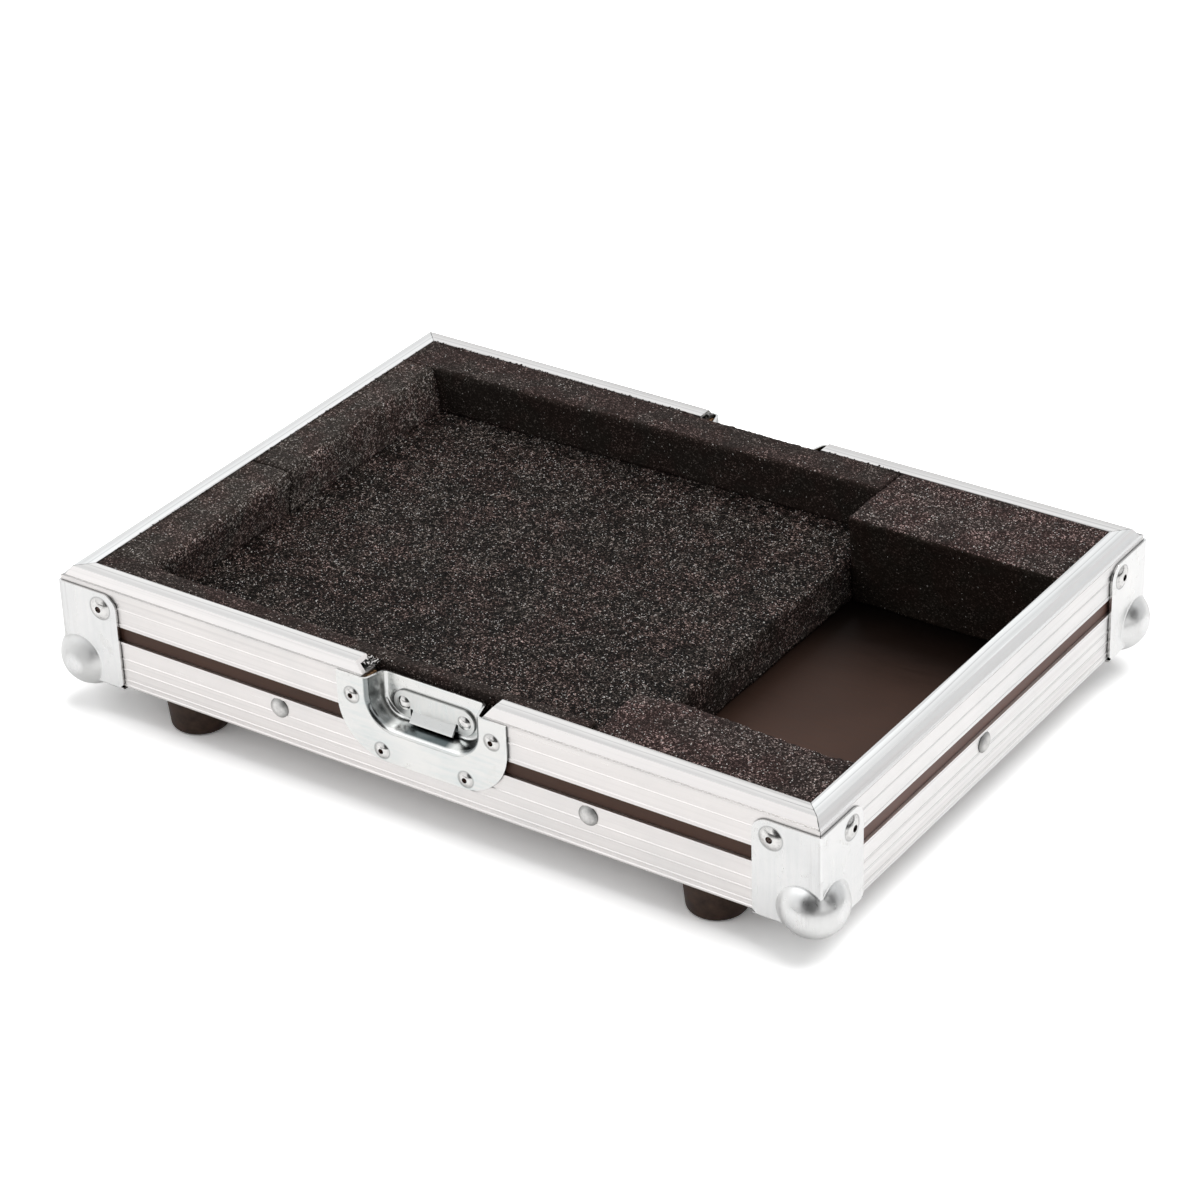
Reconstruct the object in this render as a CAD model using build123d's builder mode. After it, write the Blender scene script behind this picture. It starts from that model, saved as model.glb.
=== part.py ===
from build123d import *
import os

# Base tray of a flight case for a disc jockey's controller.
#
# A shallow plywood box is edged with aluminium rails, closed at each corner by a steel ball corner,
# carried on four rubber feet and lined with plastic foam. A recess in the foam holds the controller,
# and a bay at its right end holds the cables. The lid is not part of it: the rim rails carry a tongue
# that a lid sits over, and a recessed catch on the front and on the back takes the lid's latch.
#
# Millimetres. +X is to the right, +Y to the back, +Z up. The origin is on the ground, in the middle
# of the footprint, so the soles of the feet are at Z = 0.

# Overall size, measured over the outer faces of the rails
case_width = 500.0
case_depth = 352.0
foot_height = 22.0
base_rail_height = 30.0
strip_height = 9.3  # bare plywood between the two rails
rim_leg_height = 22.6  # rim rail, from its lower edge to the ledge
tongue_height = 4.7  # above the ledge

# Sheet materials
wall_thickness = 10.0
base_thickness = 7.0
rail_thickness = 2.0
corner_sheet = 1.5
dish_sheet = 1.2
strike_sheet = 1.5

# Rail profiles
base_flange_width = 30.0
bead_height = 0.35
bead_width = 1.6
base_bead_spots = (4.8, 12.0, 18.6)  # along each leg, from the outer edge
base_edge_band = 2.2  # plain raised band at both ends of a leg
base_rail_round = 1.2
rim_bead_spots = (2.0, 11.8)  # up the leg, from its lower edge
rim_band_start = 15.8  # the plain raised band below the ledge
ledge_width = 1.6
tongue_slope = 3.3  # how far the tongue's outer face leans in
tongue_top_width = 9.4
tongue_wall = 1.5
inner_leg_drop = 22.0  # from the top of the tongue

# Fits
panel_gap = 0.2
mitre_gap = 0.15
foam_gap = 0.3
hole_gap = 0.15
cut_gap = 0.8

# Ball corners
corner_leg = 40.0
corner_drop = 3.0  # the top edge lies this far below the ledge
corner_round = 9.0
corner_chamfer = 3.5
corner_bend = 1.4
ball_radius = 19.2
ball_inset = 10.0  # ball centre, in from the three outer faces of the rails
ball_blend = 2.2

# Catch dishes
latch_line = 2.0  # the catches lie this far to the right of the middle, seen from the front
dish_width = 112.0
dish_height = 48.6
dish_radius = 31.5
dish_top_gap = 0.3  # below the ledge
mouth_width = 73.0
mouth_radius = 18.0
mouth_bend = 3.5
well_depth = 12.0
well_width = 65.0
well_rise = 2.5  # the floor's lower edge, above the mouth's
well_radius = 12.0
well_bend = 2.5

# Strike plates
strike_width = 53.0
strike_height = 15.8
strike_rise = 2.0  # its lower edge, above the lower edge of the well's floor
slot_width = 1.6
slot_spacing = 30.0
slot_length = 5.4
lip_reach = 4.3  # how far the tab between the slots is bent out, at its back face
lip_drop = 7.2

# Saw cuts through the rim rails at the catches: reach to the left and right at the top of the tongue
front_cut_reach = (47.0, 43.6)
back_cut_reach = (44.0, 40.0)

# Rivets: head radius, head height, shank radius
corner_rivet = (6.8, 2.0, 2.4)
dish_rivet = (4.75, 1.5, 2.0)
strike_rivet = (4.3, 1.5, 2.0)
rail_rivet = (6.0, 2.4, 2.4)
corner_rivet_eye = 2.0
dish_rivet_eye = 1.6
eye_depth = 2.6
rivet_end_gap = 0.5  # a shank stops this far inside the plywood
corner_rivet_inset = 28.5
corner_rivet_drop = 13.0  # below the ledge
corner_rivet_under = 26.5  # the one in the leg under the case, in from both faces
dish_rivet_spots = ((46.3, 13.1), (27.8, 42.6))  # beside the latch line, and below the ledge
strike_rivet_spacing = 40.0
strike_rivet_tail = 0.8
rail_rivet_height = 22.6  # up the base rail's leg
front_rivet_spots = (-97.0, 108.0)
right_rivet_spots = (-6.5,)

# Feet and their screws
foot_top_radius = 19.0
foot_sole_radius = 16.8
foot_sole_round = 2.5
foot_from_side = 76.0
foot_from_front = 21.3
foot_bore_radius = 7.0
foot_bore_depth = 12.0
washer_radius = 6.5
washer_thickness = 1.2
screw_head_radius = 4.6
screw_head_height = 2.8
screw_head_round = 1.2
screw_radius = 2.4
screw_bite = 5.5  # into the base panel
cross_length = 5.6
cross_width = 1.1
cross_depth = 1.4

# Foam lining
pad_thickness = 28.5
pad_length = 337.7  # from the left wall to the edge of the cable bay
foam_top_drop = 0.3  # below the top of the tongue
front_strip_widths = (14.4, 7.6)  # at its left and right ends, in from the rim rail
back_strip_widths = (29.6, 23.0)
left_strip_foot_width = 24.0
left_strip_top_widths = (32.0, 28.0, 22.0)  # at its front end, at the joint and at its back end
left_strip_joint = 157.0  # from the front face of the case
front_block_depth = 45.6
front_block_gap = 1.5  # between the pad's end and the block
back_block_depth = 61.0
back_block_lean = 5.5  # its front face is this much further back at the floor
back_block_gap = 0.6

# Levels that follow from the sizes above
rail_bottom = foot_height
base_rail_top = rail_bottom + base_rail_height
rim_bottom = base_rail_top + strip_height
ledge = rim_bottom + rim_leg_height
rim_top = ledge + tongue_height
floor_bottom = rail_bottom + rail_thickness
floor_top = floor_bottom + base_thickness
wall_slot_top = ledge - rail_thickness
wall_top = wall_slot_top - panel_gap
pad_top = floor_top + pad_thickness
foam_top = rim_top - foam_top_drop
corner_foot = rail_bottom - corner_sheet
corner_top = ledge - corner_drop
dish_top = ledge - dish_top_gap
dish_bottom = dish_top - dish_height
mouth_bottom = base_rail_top + mouth_bend  # the bend clears the rail
well_bottom = mouth_bottom + well_rise
strike_level = well_bottom + strike_rise + strike_height / 2
rail_rivet_level = rail_bottom + rail_rivet_height

# Depths that follow, counted inwards from a side's outer face
wall_outside = rail_thickness
wall_inside = wall_outside + wall_thickness
rim_inside = ledge_width + tongue_slope + tongue_top_width
foam_outside = rim_inside + foam_gap
cut_half_width = mouth_width / 2 + mouth_bend

# Each side has a plane at the foot of its outer face: x runs to the right as seen from outside,
# y runs into the case and z runs up.
side_planes = {
    "front": Plane(origin=(0, -case_depth / 2, 0), x_dir=(1, 0, 0), z_dir=(0, 0, 1)),
    "right": Plane(origin=(case_width / 2, 0, 0), x_dir=(0, 1, 0), z_dir=(0, 0, 1)),
    "back": Plane(origin=(0, case_depth / 2, 0), x_dir=(-1, 0, 0), z_dir=(0, 0, 1)),
    "left": Plane(origin=(-case_width / 2, 0, 0), x_dir=(0, -1, 0), z_dir=(0, 0, 1)),
}
side_lengths = {"front": case_width, "right": case_depth, "back": case_width, "left": case_depth}

# Each corner has a plane at ground level on its vertical edge, with x and y running into the case.
corner_planes = {
    "front_left": Plane(origin=(-case_width / 2, -case_depth / 2, 0), x_dir=(1, 0, 0), z_dir=(0, 0, 1)),
    "front_right": Plane(origin=(case_width / 2, -case_depth / 2, 0), x_dir=(0, 1, 0), z_dir=(0, 0, 1)),
    "back_right": Plane(origin=(case_width / 2, case_depth / 2, 0), x_dir=(-1, 0, 0), z_dir=(0, 0, 1)),
    "back_left": Plane(origin=(-case_width / 2, case_depth / 2, 0), x_dir=(0, -1, 0), z_dir=(0, 0, 1)),
}

# The latch line is one line across the case, so front and back see it on opposite hands.
latch_lines = {"front": latch_line, "back": -latch_line}
cut_reaches = {"front": front_cut_reach, "back": back_cut_reach}

# The rail rivets of the back and left mirror those of the front and right.
rail_rivet_spots = {
    "front": front_rivet_spots,
    "right": right_rivet_spots,
    "back": tuple(-spot for spot in front_rivet_spots),
    "left": tuple(-spot for spot in right_rivet_spots),
}
foot_spots = {
    f"{end}_{hand}": (x_sign * (case_width / 2 - foot_from_side), y_sign * (case_depth / 2 - foot_from_front))
    for end, y_sign in (("front", -1), ("back", 1))
    for hand, x_sign in (("left", -1), ("right", 1))
}

os.makedirs("parts", exist_ok=True)


def save(piece, name):
    """Label a finished piece and write it to its own file."""
    piece.part.label = name
    export_step(piece.part, f"parts/{name}.step")


def section_plane(side):
    """The plane of a side's cross-section, on the ground: x into the case, y up."""
    plane = side_planes[side]
    return Plane(origin=plane.origin, x_dir=plane.y_dir, z_dir=plane.x_dir)


def face_plane(side, depth=0.0, middle=0.0):
    """A plane along a side, depth inside its outer face: x to the right, y up, z outward."""
    plane = side_planes[side]
    origin = plane.origin + plane.y_dir * depth + plane.x_dir * middle
    return Plane(origin=origin, x_dir=plane.x_dir, z_dir=-plane.y_dir)


def leg_planes(corner):
    """The planes of a ball corner's two upright legs: x along the leg, y up."""
    plane = corner_planes[corner]
    return (
        Plane(origin=plane.origin, x_dir=plane.x_dir, z_dir=-plane.y_dir),
        Plane(origin=plane.origin, x_dir=plane.y_dir, z_dir=plane.x_dir),
    )


def seats(plane, spots):
    """Planes at the given spots of a plane, each to seat a rivet on."""
    return [Plane(plane.from_local_coords((x, y, 0)), x_dir=plane.x_dir, z_dir=plane.z_dir) for x, y in spots]


def corner_rivet_spots(side):
    """Where the ball corners' rivets go through one side."""
    along = side_lengths[side] / 2 - corner_rivet_inset
    level = ledge - corner_rivet_drop
    return [(-along, level), (along, level)]


def dish_spots():
    """Where the catch dish's rivets go through it, counted from the latch line."""
    return [(hand * beside, ledge - below) for beside, below in dish_rivet_spots for hand in (-1, 1)]


def strike_spots():
    """Where the strike plate's rivets go through it, counted from the latch line."""
    return [(hand * strike_rivet_spacing / 2, strike_level) for hand in (-1, 1)]


def drill(plane, spots, radius, depth):
    """Drill round holes from a plane, to the given depth on both sides of it."""
    with BuildSketch(plane) as holes:
        with Locations(*spots):
            Circle(radius + hole_gap)
    extrude(holes.sketch, amount=depth, both=True, mode=Mode.SUBTRACT)


def drill_side(side):
    """Drill a side's rivet holes through the rail or wall being built."""
    face = face_plane(side)
    drill(face, corner_rivet_spots(side), corner_rivet[2], wall_inside)
    drill(face, [(spot, rail_rivet_level) for spot in rail_rivet_spots[side]], rail_rivet[2], wall_inside)
    if side in latch_lines:
        drill(face_plane(side, middle=latch_lines[side]), dish_spots(), dish_rivet[2], wall_inside)


def drill_under(depth):
    """Drill upwards for the rivets of the ball corners' bottom legs."""
    under = [
        (x_sign * (case_width / 2 - corner_rivet_under), y_sign * (case_depth / 2 - corner_rivet_under))
        for x_sign in (-1, 1)
        for y_sign in (-1, 1)
    ]
    drill(Plane.XY.offset(rail_bottom), under, corner_rivet[2], depth)


def dish_outline(width, bottom, radius, grow=0.0):
    """Outline of a catch dish's flange or well, grown all round, and run on above the ledge."""
    half = width / 2 + grow
    low = bottom - grow
    corner = radius + grow
    top = rim_top
    with BuildSketch() as outline:
        with BuildLine():
            Polyline((-half, low + corner), (-half, top), (half, top), (half, low + corner))
            CenterArc((half - corner, low + corner), corner, 270, 90)
            Line((half - corner, low), (-half + corner, low))
            CenterArc((-half + corner, low + corner), corner, 180, 90)
        make_face()
    return outline.sketch


# Plywood
with BuildPart() as base_panel:
    with BuildSketch(Plane.XY.offset(floor_bottom)):
        inset = wall_inside + panel_gap
        Rectangle(case_width - 2 * inset, case_depth - 2 * inset)
    extrude(amount=base_thickness)
    drill(Plane.XY.offset(floor_bottom), foot_spots.values(), screw_radius, screw_bite)
    drill_under(rail_thickness + base_thickness)
save(base_panel, "base_panel")


def wall(side, length):
    """A plywood wall, cut away for the catch dish where the side has one."""
    with BuildPart() as panel:
        with BuildSketch(face_plane(side, wall_inside)):
            with Locations((0, (floor_bottom + wall_top) / 2)):
                Rectangle(length, wall_top - floor_bottom)
        extrude(amount=wall_thickness)
        if side in latch_lines:
            with BuildSketch(face_plane(side, wall_inside, latch_lines[side])):
                add(dish_outline(mouth_width, mouth_bottom, mouth_radius, dish_sheet + cut_gap))
            extrude(amount=wall_thickness, mode=Mode.SUBTRACT)
        drill_side(side)
    save(panel, f"{side}_wall")


wall("front", case_width - 2 * wall_outside)
wall("back", case_width - 2 * wall_outside)
wall("left", case_depth - 2 * wall_inside - 2 * panel_gap)
wall("right", case_depth - 2 * wall_inside - 2 * panel_gap)


# Aluminium rails
def beads(spots):
    """Points along a rail's face for its raised beads, as (depth, distance along the face)."""
    foot = bead_width / 2
    crest = foot - bead_height
    points = []
    for spot in spots:
        points += [(bead_height, spot - foot), (0, spot - crest), (0, spot + crest), (bead_height, spot + foot)]
    return points


def base_leg_face(length):
    """Points along the outer face of one leg of the base rail, from the round edge to its end."""
    return [
        (0, base_rail_round),
        (0, base_edge_band - bead_height),
        (bead_height, base_edge_band),
        *beads(base_bead_spots),
        (bead_height, length - base_edge_band),
        (0, length - base_edge_band + bead_height),
        (0, length),
    ]


def base_section():
    """Cross-section of the base rail: an angle, beaded alike on both legs."""
    under = [(along, depth) for depth, along in reversed(base_leg_face(base_flange_width))]
    with BuildSketch() as section:
        with BuildLine():
            Polyline(
                *base_leg_face(base_rail_height),
                (rail_thickness, base_rail_height),
                (rail_thickness, rail_thickness),
                (base_flange_width, rail_thickness),
                *under,
            )
            CenterArc((base_rail_round, base_rail_round), base_rail_round, 180, 90)
        make_face()
    return section.sketch


def rim_section():
    """Cross-section of the rim rail: a channel over the wall's edge, under a hollow tongue."""
    tongue_start = ledge_width + tongue_slope
    leg_end = rim_leg_height + tongue_height - inner_leg_drop
    slot = (rail_thickness, wall_inside + panel_gap)
    slot_top = rim_leg_height - rail_thickness
    hollow_bottom = slot_top + tongue_wall
    hollow_top = rim_leg_height + tongue_height - tongue_wall
    with BuildSketch() as section:
        with BuildLine():
            Polyline(
                (bead_height, 0),
                *beads(rim_bead_spots),
                (bead_height, rim_band_start - bead_height),
                (0, rim_band_start),
                (0, rim_leg_height),
                (ledge_width, rim_leg_height),
                (tongue_start, rim_leg_height + tongue_height),
                (rim_inside, rim_leg_height + tongue_height),
                (rim_inside, leg_end),
                (slot[1], leg_end),
                (slot[1], slot_top),
                (slot[0], slot_top),
                (slot[0], 0),
                close=True,
            )
        make_face()
        with BuildLine():
            Polyline(
                (ledge_width + 2 * tongue_wall, hollow_bottom),
                (tongue_start + tongue_wall, hollow_top),
                (rim_inside - tongue_wall, hollow_top),
                (rim_inside - tongue_wall, hollow_bottom),
                close=True,
            )
        make_face(mode=Mode.SUBTRACT)
    return section.sketch


def mitre(side, width):
    """Trim the rail being built to a mitre at both ends."""
    half = side_lengths[side] / 2 - mitre_gap
    with BuildSketch(side_planes[side]) as plan:
        with BuildLine():
            Polyline((-half, 0), (half, 0), (half - width, width), (-half + width, width), close=True)
        make_face()
    extrude(plan.sketch, amount=rim_top, mode=Mode.INTERSECT)


def base_rail(side):
    """The beaded angle round the bottom edge of one side."""
    with BuildPart() as rail:
        with BuildSketch(section_plane(side)):
            with Locations((0, rail_bottom)):
                add(base_section())
        extrude(amount=side_lengths[side] / 2, both=True)
        mitre(side, base_flange_width)
        drill_side(side)
        drill_under(rail_thickness)
        drill(Plane.XY.offset(rail_bottom), foot_spots.values(), screw_radius, rail_thickness)
    save(rail, f"{side}_base_rail")


def catch_cut(side):
    """Saw the rim rail being built away at the catch, wider towards the top of its tongue."""
    left_reach, right_reach = cut_reaches[side]
    with BuildSketch(face_plane(side, middle=latch_lines[side])) as gap:
        with BuildLine():
            Polyline(
                (-cut_half_width, rim_bottom),
                (cut_half_width, rim_bottom),
                (cut_half_width, ledge),
                (right_reach, rim_top),
                (-left_reach, rim_top),
                (-cut_half_width, ledge),
                close=True,
            )
        make_face()
    extrude(gap.sketch, amount=-rim_inside, mode=Mode.SUBTRACT)


def rim_rail(side, name, start, end):
    """A length of rim rail, from start to end along its side."""
    section = section_plane(side)
    with BuildPart() as rail:
        with BuildSketch(section.offset(start)):
            with Locations((0, rim_bottom)):
                add(rim_section())
        extrude(amount=end - start)
        mitre(side, rim_inside)
        if side in latch_lines:
            catch_cut(side)
        drill_side(side)
    save(rail, name)


for each_side in side_planes:
    base_rail(each_side)

for each_side in ("left", "right"):
    half_length = side_lengths[each_side] / 2
    rim_rail(each_side, f"{each_side}_rim_rail", -half_length, half_length)

half_width = case_width / 2
rim_rail("front", "front_rim_rail_left", -half_width, latch_lines["front"])
rim_rail("front", "front_rim_rail_right", latch_lines["front"], half_width)
rim_rail("back", "back_rim_rail_right", -half_width, latch_lines["back"])
rim_rail("back", "back_rim_rail_left", latch_lines["back"], half_width)


# Steel ball corners
def upright_leg():
    """Outline of a ball corner's upright leg, rounded at the top and bevelled at the foot."""
    with BuildSketch() as outline:
        with BuildLine():
            Polyline(
                (corner_leg - corner_round, corner_top),
                (-corner_sheet, corner_top),
                (-corner_sheet, corner_foot),
                (corner_leg - corner_chamfer, corner_foot),
                (corner_leg, corner_foot + corner_chamfer),
                (corner_leg, corner_top - corner_round),
            )
            CenterArc((corner_leg - corner_round, corner_top - corner_round), corner_round, 0, 90)
        make_face()
    return outline.sketch


def ball_corner(corner):
    """A pressed steel corner: two upright legs and one under the case, which meet in a ball."""
    plane = corner_planes[corner]
    first, second = leg_planes(corner)
    tip = plane.from_local_coords((-corner_sheet, -corner_sheet, corner_foot))
    ball_middle = Plane(
        plane.from_local_coords((ball_inset, ball_inset, rail_bottom + ball_inset)), x_dir=plane.x_dir
    )
    with BuildPart() as pressing:
        with BuildSketch(first):
            add(upright_leg())
        extrude(amount=corner_sheet)
        with BuildSketch(second):
            add(upright_leg())
        extrude(amount=-corner_sheet)
        with BuildSketch(plane.offset(corner_foot)):
            with Locations((-corner_sheet, -corner_sheet)):
                Rectangle(corner_leg + corner_sheet, corner_leg + corner_sheet, align=Align.MIN)
        extrude(amount=corner_sheet)
        far = plane.from_local_coords((corner_leg, corner_leg, rail_bottom))
        fillet(pressing.edges().filter_by(Axis.Z).sort_by_distance(far)[0], corner_round)
        fillet([edge for edge in pressing.edges() if edge.distance_to(tip) < corner_sheet / 100], corner_bend)
        with Locations(ball_middle):
            Sphere(ball_radius)
        with Locations(plane.offset(rail_bottom)):
            Box(case_width, case_depth, rim_top, align=Align.MIN, mode=Mode.SUBTRACT)
        with Locations(ball_middle):
            Sphere(ball_radius - corner_sheet, mode=Mode.SUBTRACT)
        ball = pressing.faces().filter_by(GeomType.SPHERE).sort_by(SortBy.AREA)[-1]
        fillet(ball.edges(), ball_blend)
        for leg in (first, second):
            drill(leg, [(corner_rivet_inset, ledge - corner_rivet_drop)], corner_rivet[2], corner_sheet)
        drill_under(corner_sheet)
    save(pressing, f"{corner}_ball_corner")


for each_corner in corner_planes:
    ball_corner(each_corner)


# Steel catches
def add_well(side, start, end, grow, mode):
    """Loft a dish's well from its mouth to its floor."""
    with BuildSketch(face_plane(side, start, latch_lines[side])) as mouth:
        add(dish_outline(mouth_width, mouth_bottom, mouth_radius, grow))
    with BuildSketch(face_plane(side, end, latch_lines[side])) as floor:
        add(dish_outline(well_width, well_bottom, well_radius, grow))
    loft([mouth.sketch.face(), floor.sketch.face()], ruled=True, mode=mode)


def well_edges(dish, side, depth):
    """The edges of a dish's well at one depth, without those of its flange or above it."""
    plane = face_plane(side, depth, latch_lines[side])
    edges = []
    for edge in dish.edges():
        box = plane.to_local_coords(edge).bounding_box()
        in_plane = max(abs(box.min.Z), abs(box.max.Z)) < dish_sheet / 10
        in_well = max(-box.min.X, box.max.X) < dish_width / 2 - dish_sheet and box.min.Y > dish_bottom + dish_sheet
        if in_plane and in_well and box.min.Y < rim_top - dish_sheet:
            edges.append(edge)
    return edges


def catch_dish(side):
    """The lower half of a latch dish: a flat flange round a pressed well that is open at the top."""
    with BuildPart() as dish:
        with BuildSketch(face_plane(side, 0, latch_lines[side])):
            add(dish_outline(dish_width, dish_bottom, dish_radius))
        extrude(amount=dish_sheet)
        add_well(side, 0, well_depth + dish_sheet, dish_sheet, Mode.ADD)
        add_well(side, -dish_sheet, well_depth, 0, Mode.SUBTRACT)
        fillet(well_edges(dish, side, -dish_sheet), mouth_bend)
        fillet(well_edges(dish, side, well_depth), well_bend)
        fillet(well_edges(dish, side, 0), mouth_bend - dish_sheet)
        fillet(well_edges(dish, side, well_depth + dish_sheet), well_bend + dish_sheet)
        split(bisect_by=Plane.XY.offset(dish_top), keep=Keep.BOTTOM)
        face = face_plane(side, middle=latch_lines[side])
        drill(face, dish_spots(), dish_rivet[2], dish_sheet)
        drill(face.offset(-well_depth), strike_spots(), strike_rivet[2], dish_sheet)
    save(dish, f"{side}_catch_dish")


def strike_plate(side):
    """The plate on the well's floor, with a tab bent out between two slots for the latch's hook."""
    floor = face_plane(side, well_depth, latch_lines[side])
    across = Plane(origin=floor.origin, x_dir=floor.z_dir, z_dir=-floor.x_dir)
    foot = strike_level - strike_height / 2
    slot_top = foot + slot_length
    with BuildPart() as plate:
        with BuildSketch(floor):
            with Locations((0, strike_level)):
                SlotOverall(strike_width, strike_height)
            with Locations((0, foot)):
                Rectangle(slot_spacing + slot_width, 2 * slot_length, mode=Mode.SUBTRACT)
        extrude(amount=strike_sheet)
        with BuildSketch(across):
            with BuildLine():
                back = Polyline((0, slot_top), (0, slot_top - slot_width), (lip_reach, slot_top - lip_drop))
                offset(back, amount=strike_sheet, side=Side.LEFT)
            make_face()
        extrude(amount=(slot_spacing - slot_width) / 2, both=True)
        drill(floor, strike_spots(), strike_rivet[2], strike_sheet)
    save(plate, f"{side}_strike_plate")


for each_side in latch_lines:
    catch_dish(each_side)
    strike_plate(each_side)


# Rivets
def add_rivet(seat, size, grip, eye_radius=0.0):
    """Add a rivet: a domed head on the seat and a shank below it. A pop rivet has an eye."""
    head_radius, head_height, shank_radius = size
    dome_radius = (head_radius**2 + head_height**2) / (2 * head_height)
    dome_middle = head_height - dome_radius
    brow = dome_middle + (dome_radius**2 - eye_radius**2) ** 0.5
    halfway = head_radius * 0.7
    shoulder = dome_middle + (dome_radius**2 - halfway**2) ** 0.5
    bottom = (0, -eye_depth) if eye_radius else (0, brow)
    with BuildSketch(Plane(origin=seat.origin, x_dir=seat.x_dir, z_dir=-seat.y_dir)) as profile:
        with BuildLine():
            ThreePointArc((eye_radius, brow), (halfway, shoulder), (head_radius, 0))
            Polyline((head_radius, 0), (shank_radius, 0), (shank_radius, -grip), (0, -grip), bottom)
            if eye_radius:
                Polyline(bottom, (eye_radius, -eye_depth), (eye_radius, brow))
        make_face()
    revolve(profile.sketch, axis=Axis(seat.origin, seat.z_dir))


with BuildPart() as corner_rivets:
    for each_side in side_planes:
        for each_seat in seats(face_plane(each_side, -corner_sheet), corner_rivet_spots(each_side)):
            add_rivet(each_seat, corner_rivet, corner_sheet + wall_inside - rivet_end_gap, corner_rivet_eye)
    for plane in corner_planes.values():
        spot = plane.from_local_coords((corner_rivet_under, corner_rivet_under, corner_foot))
        grip = corner_sheet + rail_thickness + base_thickness - rivet_end_gap
        add_rivet(Plane(spot, x_dir=(1, 0, 0), z_dir=(0, 0, -1)), corner_rivet, grip, corner_rivet_eye)
save(corner_rivets, "corner_rivets")

with BuildPart() as dish_rivets:
    for each_side, middle in latch_lines.items():
        for each_seat in seats(face_plane(each_side, -dish_sheet, middle), dish_spots()):
            add_rivet(each_seat, dish_rivet, dish_sheet + wall_inside - rivet_end_gap, dish_rivet_eye)
save(dish_rivets, "dish_rivets")

with BuildPart() as strike_rivets:
    for each_side, middle in latch_lines.items():
        for each_seat in seats(face_plane(each_side, well_depth - strike_sheet, middle), strike_spots()):
            add_rivet(each_seat, strike_rivet, strike_sheet + dish_sheet + strike_rivet_tail)
save(strike_rivets, "strike_rivets")

with BuildPart() as rail_rivets:
    for each_side, spots in rail_rivet_spots.items():
        for each_seat in seats(face_plane(each_side), [(spot, rail_rivet_level) for spot in spots]):
            add_rivet(each_seat, rail_rivet, wall_inside - rivet_end_gap)
save(rail_rivets, "rail_rivets")


# Feet
for foot_name, (foot_x, foot_y) in foot_spots.items():
    with BuildPart() as foot:
        with Locations((foot_x, foot_y, 0)):
            Cone(
                foot_sole_radius, foot_top_radius, foot_height, align=(Align.CENTER, Align.CENTER, Align.MIN)
            )
        fillet(foot.edges().sort_by(Axis.Z)[0], foot_sole_round)
        with Locations(Plane((foot_x, foot_y, 0), x_dir=(1, 0, 0), z_dir=(0, 0, -1))):
            CounterBoreHole(screw_radius + hole_gap, foot_bore_radius, foot_bore_depth)
    save(foot, f"{foot_name}_foot")

with BuildPart() as foot_washers:
    with BuildSketch(Plane.XY.offset(foot_bore_depth - washer_thickness)):
        with Locations(*foot_spots.values()):
            Circle(washer_radius)
            Circle(screw_radius + hole_gap, mode=Mode.SUBTRACT)
    extrude(amount=washer_thickness)
save(foot_washers, "foot_washers")

with BuildPart() as foot_screws:
    head_top = foot_bore_depth - washer_thickness
    head_bottom = head_top - screw_head_height
    with BuildSketch(Plane.XY.offset(head_bottom)):
        with Locations(*foot_spots.values()):
            Circle(screw_head_radius)
    extrude(amount=screw_head_height)
    fillet(foot_screws.edges().group_by(Axis.Z)[0], screw_head_round)
    with BuildSketch(Plane.XY.offset(head_top)):
        with Locations(*foot_spots.values()):
            Circle(screw_radius)
    extrude(amount=floor_bottom + screw_bite - head_top)
    with BuildSketch(Plane.XY.offset(head_bottom)):
        with Locations(*foot_spots.values()):
            Rectangle(cross_length, cross_width)
            Rectangle(cross_width, cross_length)
    extrude(amount=cross_depth, mode=Mode.SUBTRACT)
save(foot_screws, "foot_screws")


# Foam. Its pieces are laid out in plan from the front left corner of the case.
plan_corner = corner_planes["front_left"]
pad_end = wall_inside + pad_length
foam_right = case_width - foam_outside
foam_back = case_depth - foam_outside

with BuildPart() as floor_pad:
    with BuildSketch(plan_corner.offset(floor_top)):
        with Locations((foam_outside, foam_outside)):
            Rectangle(pad_end - foam_outside, foam_back - foam_outside, align=Align.MIN)
    extrude(amount=pad_thickness)
save(floor_pad, "floor_pad")

with BuildPart() as front_strip:
    with BuildSketch(plan_corner.offset(pad_top)):
        with BuildLine():
            Polyline(
                (foam_outside, foam_outside),
                (pad_end, foam_outside),
                (pad_end, foam_outside + front_strip_widths[1]),
                (foam_outside, foam_outside + front_strip_widths[0]),
                close=True,
            )
        make_face()
    extrude(amount=foam_top - pad_top)
save(front_strip, "front_strip")

with BuildPart() as back_strip:
    with BuildSketch(plan_corner.offset(pad_top)):
        with BuildLine():
            Polyline(
                (foam_outside, foam_back),
                (foam_outside, foam_back - back_strip_widths[0]),
                (pad_end, foam_back - back_strip_widths[1]),
                (pad_end, foam_back),
                close=True,
            )
        make_face()
    extrude(amount=foam_top - pad_top)
save(back_strip, "back_strip")


def left_strip_end(distance, top_width):
    """Cross-section of the left strip, at a distance from the front face of the case."""
    plane = plan_corner
    section = Plane(origin=plane.origin + plane.y_dir * distance, x_dir=plane.x_dir, z_dir=-plane.y_dir)
    with BuildSketch(section) as end:
        with BuildLine():
            Polyline(
                (foam_outside, pad_top),
                (foam_outside + left_strip_foot_width, pad_top),
                (foam_outside + top_width, foam_top),
                (foam_outside, foam_top),
                close=True,
            )
        make_face()
    return end.sketch.face()


left_strip_ends = (
    foam_outside + front_strip_widths[0] + foam_gap,
    left_strip_joint,
    foam_back - back_strip_widths[0] - foam_gap,
)

with BuildPart() as left_strip_front:
    front_end = left_strip_end(left_strip_ends[0], left_strip_top_widths[0])
    joint_end = left_strip_end(left_strip_ends[1], left_strip_top_widths[1])
    loft([front_end, joint_end], ruled=True)
save(left_strip_front, "left_strip_front")

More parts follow.
